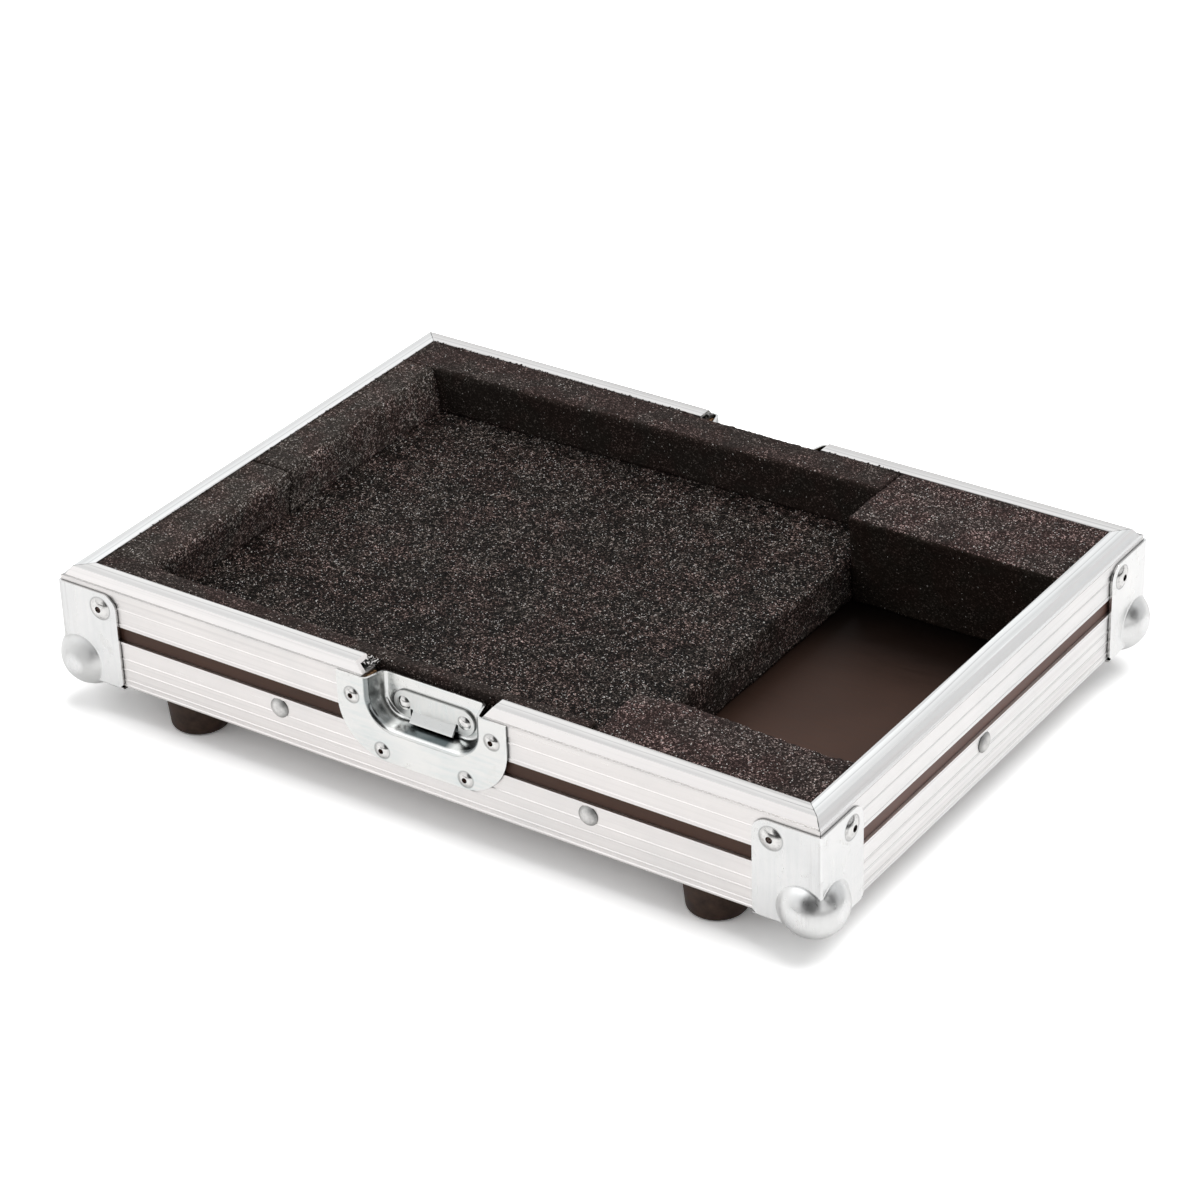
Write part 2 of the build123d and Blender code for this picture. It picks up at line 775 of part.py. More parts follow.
with BuildPart() as left_strip_back:
    joint_end = left_strip_end(left_strip_ends[1] + foam_gap, left_strip_top_widths[1])
    back_end = left_strip_end(left_strip_ends[2], left_strip_top_widths[2])
    loft([joint_end, back_end], ruled=True)
save(left_strip_back, "left_strip_back")

with BuildPart() as front_block:
    with BuildSketch(plan_corner.offset(floor_top)):
        with Locations((pad_end + front_block_gap, foam_outside)):
            Rectangle(foam_right - pad_end - front_block_gap, front_block_depth, align=Align.MIN)
    extrude(amount=foam_top - floor_top)
save(front_block, "front_block")

with BuildPart() as back_block:
    start = plan_corner.from_local_coords((pad_end + back_block_gap, 0, 0))
    with BuildSketch(Plane(origin=start, x_dir=plan_corner.y_dir, z_dir=plan_corner.x_dir)):
        with BuildLine():
            Polyline(
                (foam_back, floor_top),
                (foam_back, foam_top),
                (foam_back - back_block_depth, foam_top),
                (foam_back - back_block_depth + back_block_lean, floor_top),
                close=True,
            )
        make_face()
    extrude(amount=foam_right - pad_end - back_block_gap)
save(back_block, "back_block")
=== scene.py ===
import math
import random

import bmesh
import bpy
from mathutils import Matrix, Vector, noise


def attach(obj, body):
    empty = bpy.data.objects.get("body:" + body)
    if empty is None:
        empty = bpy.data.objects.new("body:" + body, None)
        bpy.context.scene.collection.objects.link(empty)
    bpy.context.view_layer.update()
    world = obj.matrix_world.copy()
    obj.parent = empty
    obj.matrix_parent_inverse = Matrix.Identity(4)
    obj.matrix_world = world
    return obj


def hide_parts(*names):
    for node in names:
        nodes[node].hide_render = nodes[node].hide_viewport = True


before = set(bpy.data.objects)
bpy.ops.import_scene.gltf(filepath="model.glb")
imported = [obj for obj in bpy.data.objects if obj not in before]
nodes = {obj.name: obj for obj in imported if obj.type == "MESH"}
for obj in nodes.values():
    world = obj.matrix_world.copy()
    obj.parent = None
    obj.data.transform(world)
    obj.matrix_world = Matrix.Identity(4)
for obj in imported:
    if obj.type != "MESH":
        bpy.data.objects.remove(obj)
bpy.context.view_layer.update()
scene = bpy.context.scene

# The frame is in metres. The pieces below are laid out in millimetres from the case's front left corner.
CASE_WIDTH, CASE_DEPTH = 500.0, 352.0
RAIL_BOTTOM, RAIL_HEIGHT, RIM_BOTTOM, LEDGE, RIM_TOP = 22.0, 30.0, 61.3, 83.9, 88.6

# In metres from the frame's middle: the middle of the catches, how far beside it and how high the dishes' rivets sit,
# and the rivets of the ball corners
CATCH_X = 0.002
DISH_RIVETS, DISH_RIVET_RADIUS = ((0.0463, 0.0708), (0.0278, 0.0413)), 0.00475
CORNER_RIVET_X, CORNER_RIVET_Y, CORNER_RIVET_Z, CORNER_RIVET_RADIUS = 0.2215, 0.1475, 0.0709, 0.0068


def place(x, y, z):
    """A point of the frame, from millimetres counted from the case's front left corner and the ground."""
    return Vector(((x - CASE_WIDTH / 2) / 1000, (y - CASE_DEPTH / 2) / 1000, z / 1000))


def metres(*lengths):
    return tuple(length / 1000 for length in lengths)


def between(first, second, share):
    return first + (second - first) * share


def scaled(colour, factor):
    """A colour times a number, or times three."""
    if not isinstance(factor, tuple):
        factor = (factor,) * 3
    return tuple(min(c * f, 1.0) for c, f in zip(colour, factor))


def node_in(tree, kind, inputs=None, **settings):
    """A new node. Its inputs are values, or sockets of other nodes."""
    node = tree.nodes.new("ShaderNode" + kind)
    for name, value in settings.items():
        setattr(node, name, value)
    for name, value in (inputs or {}).items():
        put(tree, node.inputs[name], value)
    return node


def put(tree, socket, value):
    if isinstance(value, bpy.types.NodeSocket):
        tree.links.new(value, socket)
    else:
        socket.default_value = value


# Materials
class Shade:
    """A node material while it is put together."""

    def __init__(self, name, metallic=0.0, specular=0.5):
        self.material = bpy.data.materials.new(name)
        self.material.use_nodes = True
        self.tree = self.material.node_tree
        self.shader = next(node for node in self.tree.nodes if node.type == "BSDF_PRINCIPLED")
        self.shader.inputs["Metallic"].default_value = metallic
        self.shader.inputs["Specular IOR Level"].default_value = specular
        self.place = self.add("TexCoord").outputs["Object"]

    def add(self, kind, inputs=None, **settings):
        return node_in(self.tree, kind, inputs, **settings)

    def stretched(self, scale, turn=(0, 0, 0)):
        return self.add("Mapping", {"Vector": self.place, "Scale": scale, "Rotation": turn}).outputs["Vector"]

    def along(self, axis, across, lengthwise):
        """Coordinates for streaks that run along one axis."""
        scale = [across, across, across]
        scale[axis] = lengthwise
        return self.stretched(scale)

    def grain(self, scale=1.0, detail=2.0, roughness=0.5, at=None, distortion=0.0):
        inputs = {"Vector": at or self.place, "Scale": scale, "Detail": detail, "Roughness": roughness}
        return self.add("TexNoise", inputs | {"Distortion": distortion}).outputs["Fac"]

    def cells(self, scale, at=None, feature="F1"):
        return self.add("TexVoronoi", {"Vector": at or self.place, "Scale": scale}, feature=feature)

    def calc(self, operation, first, second=0.0):
        return self.add("Math", {0: first, 1: second}, operation=operation).outputs[0]

    def product(self, first, *others):
        for value in others:
            first = self.calc("MULTIPLY", first, value)
        return first

    def mixed(self, *parts):
        """The sum of values, each times its weight."""
        total = None
        for value, weight in parts:
            part = self.product(value, weight)
            total = part if total is None else self.calc("ADD", total, part)
        return total

    def fit(self, value, low, high, to_low=0.0, to_high=1.0):
        inputs = {"Value": value, "From Min": low, "From Max": high, "To Min": to_low, "To Max": to_high}
        return self.add("MapRange", inputs).outputs["Result"]

    def ramp(self, factor, stops):
        node = self.add("ValToRGB", {"Fac": factor})
        ramp = node.color_ramp
        while len(ramp.elements) > 1:
            ramp.elements.remove(ramp.elements[-1])
        ramp.elements[0].position = stops[0][0]
        ramp.elements[0].color = (*stops[0][1], 1)
        for position, colour in stops[1:]:
            ramp.elements.new(position).color = (*colour, 1)
        return node.outputs["Color"]

    def levels(self, factor, stops):
        return self.ramp(factor, [(position, (value,) * 3) for position, value in stops])

    def blend(self, factor, first, second, how="MIX"):
        first, second = ((*value, 1) if isinstance(value, tuple) else value for value in (first, second))
        return self.add("Mix", {0: factor, 6: first, 7: second}, data_type="RGBA", blend_type=how).outputs[2]

    def times(self, colour, value):
        """A colour made lighter or darker by a value."""
        grey = self.add("CombineXYZ", {"X": value, "Y": value, "Z": value}).outputs[0]
        return self.blend(1.0, colour, grey, "MULTIPLY")

    def axes(self, vector):
        return self.add("SeparateXYZ", {"Vector": vector}).outputs

    def normal(self, axis):
        return self.axes(self.add("NewGeometry").outputs["Normal"])[axis]

    def facing(self, axis):
        """1 where the surface faces along an axis, to either side."""
        return self.calc("ABSOLUTE", self.normal(axis))

    def squareness(self):
        """1 where the surface faces along any axis, less where it leans."""
        return self.calc("MAXIMUM", self.facing(0), self.calc("MAXIMUM", self.facing(1), self.facing(2)))

    def crevice_shade(self, distance, low, high, dark):
        """Below 1 where another surface stands close by, for painted shade in gaps and along laid-on edges."""
        node = self.add("AmbientOcclusion", {"Distance": distance}, samples=8)
        return self.fit(node.outputs["AO"], low, high, dark, 1.0)

    def bump(self, height, distance, strength):
        return self.add("Bump", {"Height": height, "Distance": distance, "Strength": strength}).outputs["Normal"]

    def finish(self, **inputs):
        names = {"colour": "Base Color", "roughness": "Roughness", "normal": "Normal"}
        for name, value in inputs.items():
            put(self.tree, self.shader.inputs[names[name]], value)
        return self.material


# Heights of the painted shade lines along the feet of the rails' beads, with how dark each one is
BASE_LINES = [(RAIL_BOTTOM + z, s) for z, s in (
    (1.0, 0.5), (4.4, 1.0), (11.6, 0.9), (18.4, 1.0), (28.6, 0.4))]
RIM_LINES = [(RIM_BOTTOM + z, s) for z, s in ((1.5, 0.7), (11.9, 0.8), (21.9, 1.2))]
# How far such a line reaches to either side, in millimetres, and how dark it gets on rails along x and along y
LINE_REACH, LINE_DARK = 0.32, (0.12, 0.48)

# Painted light and shade in bands across the top of the rim rail's tongue: how light it is, by millimetres from the
# case's outside
TONGUE_SHADING = ((3.6, 0.97), (4.8, 0.96), (5.2, 0.84), (7.2, 0.80), (8.6, 0.88), (9.7, 0.93), (10.0, 0.74), (10.35, 0.72),
          (10.7, 0.90), (12.0, 0.98), (13.2, 1.0), (13.6, 0.78))
# The stretch that these places lie on, in metres
TONGUE_SPAN = (0.0034, 0.0140)
# How light the painted highlight on the tongue's leaning side and the painted shadow on the ledge at its foot make
# them, on rails along x and along y
LEAN_HIGHLIGHT, LEDGE_SHADOW = (1.12, 1.04), (0.54, 0.92)


def aluminium(name, along, kind, warm):
    """Drawn aluminium: streaks along the rail, handling marks, and painted shade beside its beads and hardware."""
    shade = Shade(name, metallic=1.0)
    where = shade.axes(shade.place)
    fine = shade.grain(1.0, 3.0, 0.6, shade.along(along, 900.0, 5.0))
    middling = shade.grain(1.0, 2.0, 0.5, shade.along(along, 420.0, 3.0))
    broad = shade.grain(1.0, 2.0, 0.5, shade.along(along, 170.0, 1.6))
    cloud = shade.grain(14.0, 3.0, 0.6)
    tone = shade.mixed((fine, 0.30), (middling, 0.35), (broad, 0.35))
    colour = shade.ramp(tone, [(0.34, scaled(warm, 0.86)), (0.47, warm), (0.66, scaled(warm, 1.05))])
    colour = shade.blend(shade.fit(cloud, 0.48, 0.72, 0.0, 0.5), colour, scaled(warm, (0.95, 0.975, 0.985)))
    low, high, lines = RIM_BOTTOM, RIM_TOP, RIM_LINES
    if kind == "base":
        low, high, lines = RAIL_BOTTOM, RAIL_BOTTOM + RAIL_HEIGHT, BASE_LINES
    # Painted shade: thin dark lines along the feet of the beads, on the rails' sides only
    stops = [(0.0, 1.0)]
    for line, share in lines:
        middle, reach = (line - low) / (high - low), LINE_REACH / (high - low)
        stops += [(middle - reach, 1.0), (middle, 1 - LINE_DARK[along] * share), (middle + reach, 1.0)]
    bead_shade = shade.levels(shade.fit(where[2], *metres(low, high)), stops)
    side = shade.fit(shade.facing(2), 0.8, 0.4)
    colour = shade.blend(side, colour, shade.blend(1.0, colour, bead_shade, "MULTIPLY"))
    height = fine
    if kind == "rim":
        # The tongue's top is painted in bands of light and shade, for how its facets catch the light, and painted a
        # little cooler on its upward faces, as a painted reflection of the sky
        half = (CASE_DEPTH if along == 0 else CASE_WIDTH) / 2000
        inward = shade.calc("SUBTRACT", half, shade.calc("ABSOLUTE", where[1 - along]))
        wander = shade.grain(1.0, 1.0, 0.5, shade.along(along, 1.0, 6.0))
        inward = shade.calc("ADD", inward, shade.fit(wander, 0.3, 0.7, -0.0009, 0.0009))
        start, end = TONGUE_SPAN
        band = shade.levels(
            shade.fit(inward, start, end), [((d / 1000 - start) / (end - start), light) for d, light in TONGUE_SHADING])
        top = shade.fit(shade.normal(2), 0.9, 0.97)
        sky_tinted = shade.blend(1.0, colour, (0.965, 0.985, 0.99), "MULTIPLY")
        colour = shade.blend(top, colour, shade.blend(1.0, sky_tinted, band, "MULTIPLY"))
        # Painted highlight on the tongue's leaning side, and painted shadow on the ledge at its foot
        up, level = shade.normal(2), where[2]
        above = shade.fit(level, *metres(LEDGE - 0.1, LEDGE + 0.3))
        lean = shade.product(shade.fit(up, 0.40, 0.52), shade.fit(up, 0.75, 0.65), above)
        colour = shade.times(colour, shade.fit(lean, 0.0, 1.0, 1.0, LEAN_HIGHLIGHT[along]))
        ledge = shade.product(shade.fit(up, 0.8, 0.9), shade.fit(level, *metres(LEDGE + 1.3, LEDGE + 0.6)))
        colour = shade.times(colour, shade.fit(ledge, 0.0, 1.0, 1.0, LEDGE_SHADOW[along]))
        # The mitres at the corners are thin dark joints of uneven width
        offset = shade.calc("SUBTRACT", shade.calc("ABSOLUTE", where[0]), shade.calc("ABSOLUTE", where[1]))
        offset = shade.calc("ABSOLUTE", shade.calc("SUBTRACT", offset, (CASE_WIDTH - CASE_DEPTH) / 2000))
        jitter = shade.fit(shade.grain(260.0, 2.0), 0.3, 0.7, 0.00008, 0.00034)
        joint = shade.calc("LESS_THAN", offset, jitter)
        colour = shade.blend(joint, colour, (0.09, 0.085, 0.08))
        height = shade.calc("SUBTRACT", height, joint)
    # Painted shade in gaps and beside the hardware laid on the rail
    colour = shade.times(colour, shade.crevice_shade(0.0018, 0.45, 0.74, 0.30))
    # Scratches from handling, short and nearly across the rail
    turned = shade.stretched((30.0, 30.0, 30.0), (0.5, 0.9, 0.35))
    scratch = shade.cells(5.0, turned, "DISTANCE_TO_EDGE").outputs["Distance"]
    patch = shade.fit(shade.grain(22.0, 1.0), 0.56, 0.62)
    scratch = shade.product(shade.fit(scratch, 0.0, 0.010, 1.0, 0.0), patch)
    colour = shade.blend(shade.product(scratch, 0.10), colour, (0.62, 0.61, 0.60))
    rough = shade.mixed((shade.fit(fine, 0.3, 0.7, 0.26, 0.42), 1.0), (shade.fit(cloud, 0.4, 0.7, 0.0, 0.10), 1.0))
    height = shade.calc("SUBTRACT", height, shade.product(scratch, 0.3))
    if kind == "rim" and along == 0:
        # The sawn ends: blade marks across a duller, torn face
        end = shade.fit(shade.facing(along), 0.75, 0.9)
        marks = shade.grain(1.0, 2.0, 0.6, shade.stretched((300.0, 260.0, 1500.0)))
        torn = shade.ramp(marks, [(0.38, (0.16, 0.15, 0.14)), (0.62, (0.66, 0.65, 0.63))])
        colour = shade.blend(end, colour, torn)
        rough = shade.calc("ADD", rough, shade.product(end, 0.2))
    return shade.finish(colour=colour, roughness=rough, normal=shade.bump(height, 0.00005, 0.5))


rails = {}
for direction, along in (("x", 0), ("y", 1)):
    # The rails along x are painted darker than those along y, as a shaded and a lit copy of one aluminium
    warm = (0.870, 0.837, 0.821) if along == 0 else (0.968, 0.947, 0.937)
    for kind in ("base", "rim"):
        rails[kind, direction] = aluminium(f"{kind}_rail_{direction}", along, kind, warm)


# Where the painted dark reflection on the well's walls begins, how far the tab's painted shadow reaches, and where the
# tab's lower edge ends, in metres
WELL_Y, SHADE_X, SHADE_Y, SHADE_Z, TAB_EDGE_Z = (
    (0.1660, 0.1700), (0.0185, 0.0130), (0.1762, 0.1746), (0.070, 0.066), (0.0590, 0.0605))


def shade_ringed(shade, base, across, level, radius, side=None):
    """Adds a painted ring of shade beside a rivet's head, which fades out within a millimetre.

    across and level each give a coordinate and where the rivet lies on it.
    """
    here = shade.add("CombineXYZ", {"X": across[0], "Y": level[0]}).outputs[0]
    away = shade.add("VectorMath", {0: here, 1: (across[1], level[1], 0)}, operation="DISTANCE").outputs["Value"]
    ring = shade.fit(away, radius + 0.0001, radius + 0.0010, 1.0, 0.0)
    if side is not None:
        ring = shade.product(side, ring)
    return shade.blend(shade.product(ring, 0.55), base, (0.12, 0.12, 0.12))


def zinc(name, colour, brush, rough, kind, spangle=0.5, reach=0.003, dark=0.16):
    """Zinc plated sheet: cloudy plating, fine brushing from the sheet, stains, and painted light and shade in its bends
    and gaps.
    """
    shade = Shade(name, metallic=1.0)
    cloud = shade.grain(38.0, 4.0, 0.62)
    brushed = shade.grain(1.0, 3.0, 0.6, shade.stretched(brush))
    tone = shade.mixed((cloud, 1 - spangle), (brushed, spangle))
    cool = scaled(colour, (0.91, 0.92, 0.92) if kind == "corner" else (0.86, 0.91, 0.92))
    pale = scaled(colour, (1.07, 1.06, 1.05))
    base = shade.ramp(tone, [(0.32, cool), (0.49, colour), (0.68, pale)])
    stain = shade.fit(shade.grain(75.0, 3.0, 0.7, distortion=0.6), 0.58, 0.70, 0.0, 0.30)
    base = shade.blend(stain, base, scaled(colour, (0.86, 0.86, 0.83)))
    pits = shade.fit(shade.grain(900.0, 2.0, 0.7), 0.66, 0.74)
    base = shade.blend(shade.product(pits, 0.30), base, (0.42, 0.44, 0.44))
    where = shade.axes(shade.place)
    x, y = (shade.calc("ABSOLUTE", where[axis]) for axis in (0, 1))
    if kind == "dish":
        # Painted dark reflections on the well's side walls, and a painted shadow of the tab on the bottom wall
        wall = shade.levels(shade.facing(0), [(0.20, 0.0), (0.45, 0.80), (1.0, 0.66)])
        wall = shade.product(wall, shade.fit(y, *WELL_Y))
        beside = shade.calc("ABSOLUTE", shade.calc("SUBTRACT", where[0], CATCH_X))
        up = shade.fit(shade.normal(2), 0.22, 0.50, 0.0, 0.95)
        below = shade.product(shade.fit(beside, *SHADE_X), shade.fit(y, *SHADE_Y), up, shade.fit(where[2], *SHADE_Z))
        painted_dark = shade.product(shade.calc("MAXIMUM", wall, below), shade.fit(brushed, 0.3, 0.7, 0.85, 1.0))
        base = shade.blend(painted_dark, base, (0.055, 0.080, 0.088))
        for spot in DISH_RIVETS:
            base = shade_ringed(shade, base, (beside, spot[0]), (where[2], spot[1]), DISH_RIVET_RADIUS)
    if kind == "corner":
        # Painted highlight along the bend between two walls, and the long sides painted a touch darker than the short
        # ones, as they are lit less
        long_side = shade.fit(shade.facing(1), 0.7, 1.0)
        rub = shade.fit(shade.product(shade.facing(0), shade.facing(1)), 0.16, 0.42, 0.0, 0.9)
        base = shade.times(base, shade.fit(long_side, 0.0, 1.0, 1.05, 0.94))
        base = shade.blend(rub, base, (0.97, 0.97, 0.965))
        # Grey streaks of the brushing, towards the bend
        towards_bend = shade.levels(shade.fit(x, 0.238, 0.258), [(0.0, 0.0), (0.5, 0.8), (0.80, 1.0), (0.88, 0.0)])
        streak = shade.product(shade.fit(brushed, 0.45, 0.62), towards_bend)
        streak = shade.product(streak, shade.product(long_side, 0.30))
        base = shade.blend(streak, base, (0.40, 0.40, 0.40))
        # The ball is cloudier than the walls
        ball = shade.product(shade.fit(shade.squareness(), 0.985, 0.93), shade.fit(where[2], 0.056, 0.053))
        haze = shade.fit(cloud, 0.35, 0.7, 0.25, 0.75)
        base = shade.blend(shade.product(ball, haze), base, (0.72, 0.72, 0.71))
        short_side = shade.fit(shade.facing(0), 0.7, 1.0)
        for across, side in (((x, CORNER_RIVET_X), long_side), ((y, CORNER_RIVET_Y), short_side)):
            base = shade_ringed(shade, base, across, (where[2], CORNER_RIVET_Z), CORNER_RIVET_RADIUS, side)
    if kind == "strike":
        # Painted shade on the bent tab, but for its lower edge, to hold down the light that it mirrors
        bent = shade.product(shade.fit(shade.normal(2), 0.2, 0.5, 0.0, 0.8), shade.fit(where[2], *TAB_EDGE_Z))
        base = shade.blend(bent, base, scaled(colour, 0.80))
    # Painted shade in hollows, gaps and along laid-on edges
    base = shade.times(base, shade.crevice_shade(reach, 0.36, 0.82, dark))
    base = shade.times(base, shade.crevice_shade(0.0012, 0.45, 0.74, 0.45))
    roughness = shade.mixed((shade.fit(brushed, 0.3, 0.7, *rough), 1.0), (stain, 0.25))
    if kind == "corner":
        # The balls at the left end are worn duller than the others
        dulled = shade.fit(where[0], -0.225, -0.232, 0.10, 0.42)
        roughness = shade.calc("ADD", roughness, shade.product(ball, dulled))
    height = shade.mixed((brushed, 1.0), (cloud, 0.5), (pits, -1.0))
    return shade.finish(colour=base, roughness=roughness, normal=shade.bump(height, 0.00005, 0.5))


dish_zinc = zinc(
    "catch_zinc", (0.830, 0.832, 0.818), (40.0, 40.0, 420.0), (0.14, 0.26), "dish", reach=0.006, dark=0.45)
strike_zinc = zinc("strike_zinc", (0.795, 0.80, 0.785), (320.0, 320.0, 60.0), (0.26, 0.42), "strike")
corner_zinc = zinc(
    "corner_zinc", (0.885, 0.885, 0.882), (520.0, 520.0, 18.0), (0.16, 0.28), "corner", spangle=0.45, reach=0.006)


def bright_metal(name, colour, dark, rough):
    """Turned or pressed small hardware: worn mottling, and painted shade towards its rim and in its hollows."""
    shade = Shade(name, metallic=1.0)
    worn = shade.grain(420.0, 3.0, 0.6)
    fine = shade.grain(1600.0, 2.0, 0.6)
    base = shade.ramp(worn, [(0.32, dark), (0.50, colour), (0.75, scaled(colour, 1.08))])
    # Painted shade towards the rim of its head, where it leans away from the light, and painted brown shade in its hole
    rim_shade = shade.levels(shade.squareness(), [(0.70, 0.45), (0.80, 0.50), (0.87, 0.85), (0.93, 1.0)])
    base = shade.times(base, rim_shade)
    base = shade.blend(shade.crevice_shade(0.0028, 0.35, 0.84, 0.0), (0.27, 0.19, 0.17), base)
    roughness = shade.fit(worn, 0.3, 0.7, rough + 0.12, rough)
    height = shade.mixed((worn, 1.0), (fine, 0.4))
    return shade.finish(colour=base, roughness=roughness, normal=shade.bump(height, 0.00005, 0.5))


rivet_metal = bright_metal("rivet_metal", (0.84, 0.83, 0.815), (0.66, 0.65, 0.64), 0.12)
pan_metal = bright_metal("pan_rivet_metal", (0.78, 0.77, 0.755), (0.66, 0.65, 0.64), 0.42)
screw_metal = bright_metal("screw_metal", (0.68, 0.69, 0.68), (0.42, 0.42, 0.41), 0.28)


# The thickness of two veneers of the plywood, in metres
VENEER_PAIR = 0.0028


def plywood(name, axis, tone, gloss, bay=False):
    """Plywood with a smooth brown facing. Its cut edges show the veneers. axis is the one across the panel."""
    shade = Shade(name, specular=gloss)
    haze = shade.grain(9.0, 3.0, 0.6)
    fibre = shade.grain(1.0, 3.0, 0.65, shade.stretched((55.0, 420.0, 420.0)))
    brown = scaled((0.061, 0.0358, 0.0268), tone)
    facing = shade.ramp(shade.mixed((haze, 0.6), (fibre, 0.4)), [
        (0.33, scaled(brown, 0.80)), (0.50, brown), (0.70, scaled(brown, 1.25))])
    dust = shade.fit(shade.grain(700.0, 2.0, 0.7), 0.70, 0.78, 0.0, 0.22)
    facing = shade.blend(dust, facing, (0.15, 0.12, 0.10))
    across = shade.axes(shade.place)[axis]
    layer = shade.calc("FRACT", shade.product(across, 1 / VENEER_PAIR))
    wood = shade.grain(240.0, 4.0, 0.65)
    pale = shade.ramp(wood, [(0.3, (0.24, 0.135, 0.065)), (0.7, (0.44, 0.27, 0.14))])
    deep = shade.ramp(wood, [(0.3, (0.10, 0.05, 0.025)), (0.7, (0.20, 0.11, 0.055))])
    veneer = shade.blend(shade.fit(layer, 0.47, 0.53), pale, deep)
    edge = shade.fit(shade.facing(axis), 0.6, 0.4)
    colour = shade.blend(edge, facing, veneer)
    # Painted shade in gaps and along laid-on edges
    colour = shade.times(colour, shade.crevice_shade(0.0025, 0.40, 0.85, 0.45))
    if bay:
        # Painted shade at the foot of the bay's walls, and a painted shadow that darkens the bay's floor towards the
        # back
        towards_back = shade.fit(shade.axes(shade.place)[1], -0.12, 0.12)
        far = shade.levels(towards_back, [(0.30, 1.0), (0.62, 0.72), (0.80, 0.22), (1.0, 0.10)])
        colour = shade.times(colour, shade.crevice_shade(0.060, 0.45, 0.92, 0.25))
        colour = shade.blend(1.0, colour, far, "MULTIPLY")
    rough = shade.mixed((shade.fit(fibre, 0.3, 0.7, 0.38, 0.52), 1.0), (edge, 0.3))
    height = shade.calc("ADD", fibre, shade.product(wood, edge, 4.0))
    return shade.finish(colour=colour, roughness=rough, normal=shade.bump(height, 0.00006, 0.5))


ply = {
    # Copies of one facing: painted lighter on the side walls, which are lit more, than on the front and back walls and
    # the base
    0: plywood("faced_plywood_side", 0, (3.10, 2.85, 3.05), 0.42),
    1: plywood("faced_plywood_front", 1, (1.53, 1.31, 1.18), 0.22),
    2: plywood("faced_plywood_base", 2, (0.96, 0.88, 0.85), 0.12, bay=True),
}


def rubber():
    """Moulded rubber: fine texture, scuffed grey near the sole and dusty in patches."""
    shade = Shade("foot_rubber", specular=0.18)
    mottle = shade.grain(160.0, 4.0, 0.6)
    fine = shade.grain(1500.0, 2.0, 0.6)
    colour = shade.ramp(mottle, [(0.3, (0.036, 0.0216, 0.0156)), (0.7, (0.077, 0.0462, 0.0336))])
    sole = shade.fit(shade.axes(shade.place)[2], 0.0042, 0.0005)
    scuff = shade.product(sole, shade.fit(shade.grain(380.0, 4.0, 0.7), 0.46, 0.66, 0.0, 0.6))
    colour = shade.blend(scuff, colour, (0.085, 0.072, 0.064))
    rough = shade.mixed((shade.fit(mottle, 0.3, 0.7, 0.40, 0.56), 1.0), (scuff, 0.25))
    height = shade.mixed((mottle, 1.0), (fine, 0.5))
    return shade.finish(colour=colour, roughness=rough, normal=shade.bump(height, 0.00012, 0.5))


foot_rubber = rubber()

# Painted light and shade of the foam's cells, as a share of the foam's plain tone: most are painted as lying in shade,
# a few as catching the light
CELL_LIGHTING = ((0.0, 0.0), (0.35, 0.03), (0.50, 0.18), (0.62, 0.75), (0.74, 2.4), (0.84, 7.5), (0.92, 18.0), (1.0, 34.0))
# How white the painted highlight on the lightest cells is, from which share on, and how many of the painted glints of
# shiny skins take up a whole cell
WHITENESS, WHITE_SHARE, WHOLE_CELLS = 0.35, 8, 0.22


def foam(name, tone, cell, spread, deep=0.00035, spark=0.986):
    """Plank foam: cut open cells, each painted lit or shaded as if at its own angle to the light, with painted glints
    of thin shiny skins here and there.

    cell is a cell's width and deep how deep it looks, in metres. spread is how far the cells' painted light and shade
    differ in tone, and of the skins the share above spark gets a painted glint.
    """
    shade = Shade(name, specular=0.05)
    big = shade.cells(1 / cell)
    small = shade.cells(1.6 / cell)
    facet, skin = shade.axes(big.outputs["Color"]), shade.axes(small.outputs["Color"])
    rim = shade.fit(big.outputs["Distance"], 0.15, 0.75)
    value = shade.mixed((facet[0], 0.68), (skin[0], 0.32))
    patch = shade.grain(60.0, 3.0, 0.6)
    value = shade.calc("ADD", value, shade.fit(patch, 0.3, 0.7, -0.06, 0.06))
    grey = (sum(tone) / 3,) * 3
    stops = []
    for position, share in CELL_LIGHTING:
        # Painted highlight: the cells painted as catching the light take more of the lamp's white than the foam's own
        # brown
        white = min(share / WHITE_SHARE, 1) * WHITENESS
        paler = tuple(between(a, b, white) for a, b in zip(tone, grey))
        stops.append((position, scaled(paler, 1 + (share - 1) * spread)))
    colour = shade.ramp(value, stops)
    hue = shade.fit(shade.grain(42.0, 2.0, 0.5, distortion=0.5), 0.44, 0.56)
    colour = shade.blend(1.0, colour, shade.blend(hue, (1.055, 0.965, 0.955), (0.95, 1.0, 0.985)), "MULTIPLY")
    # Painted glints of shiny skins: many small ones, and a whole cell here and there
    glint = shade.product(shade.calc("GREATER_THAN", skin[1], spark), 0.9)
    whole = shade.product(shade.calc("GREATER_THAN", facet[1], 1 - (1 - spark) * WHOLE_CELLS), 0.62)
    colour = shade.blend(shade.calc("MAXIMUM", glint, whole), colour, (0.90, 0.88, 0.85))
    height = shade.mixed((facet[1], 0.5), (rim, 0.5), (skin[2], 0.3))
    roughness = shade.fit(facet[2], 0.0, 1.0, 0.45, 0.75)
    return shade.finish(colour=colour, roughness=roughness, normal=shade.bump(height, deep, 0.8))


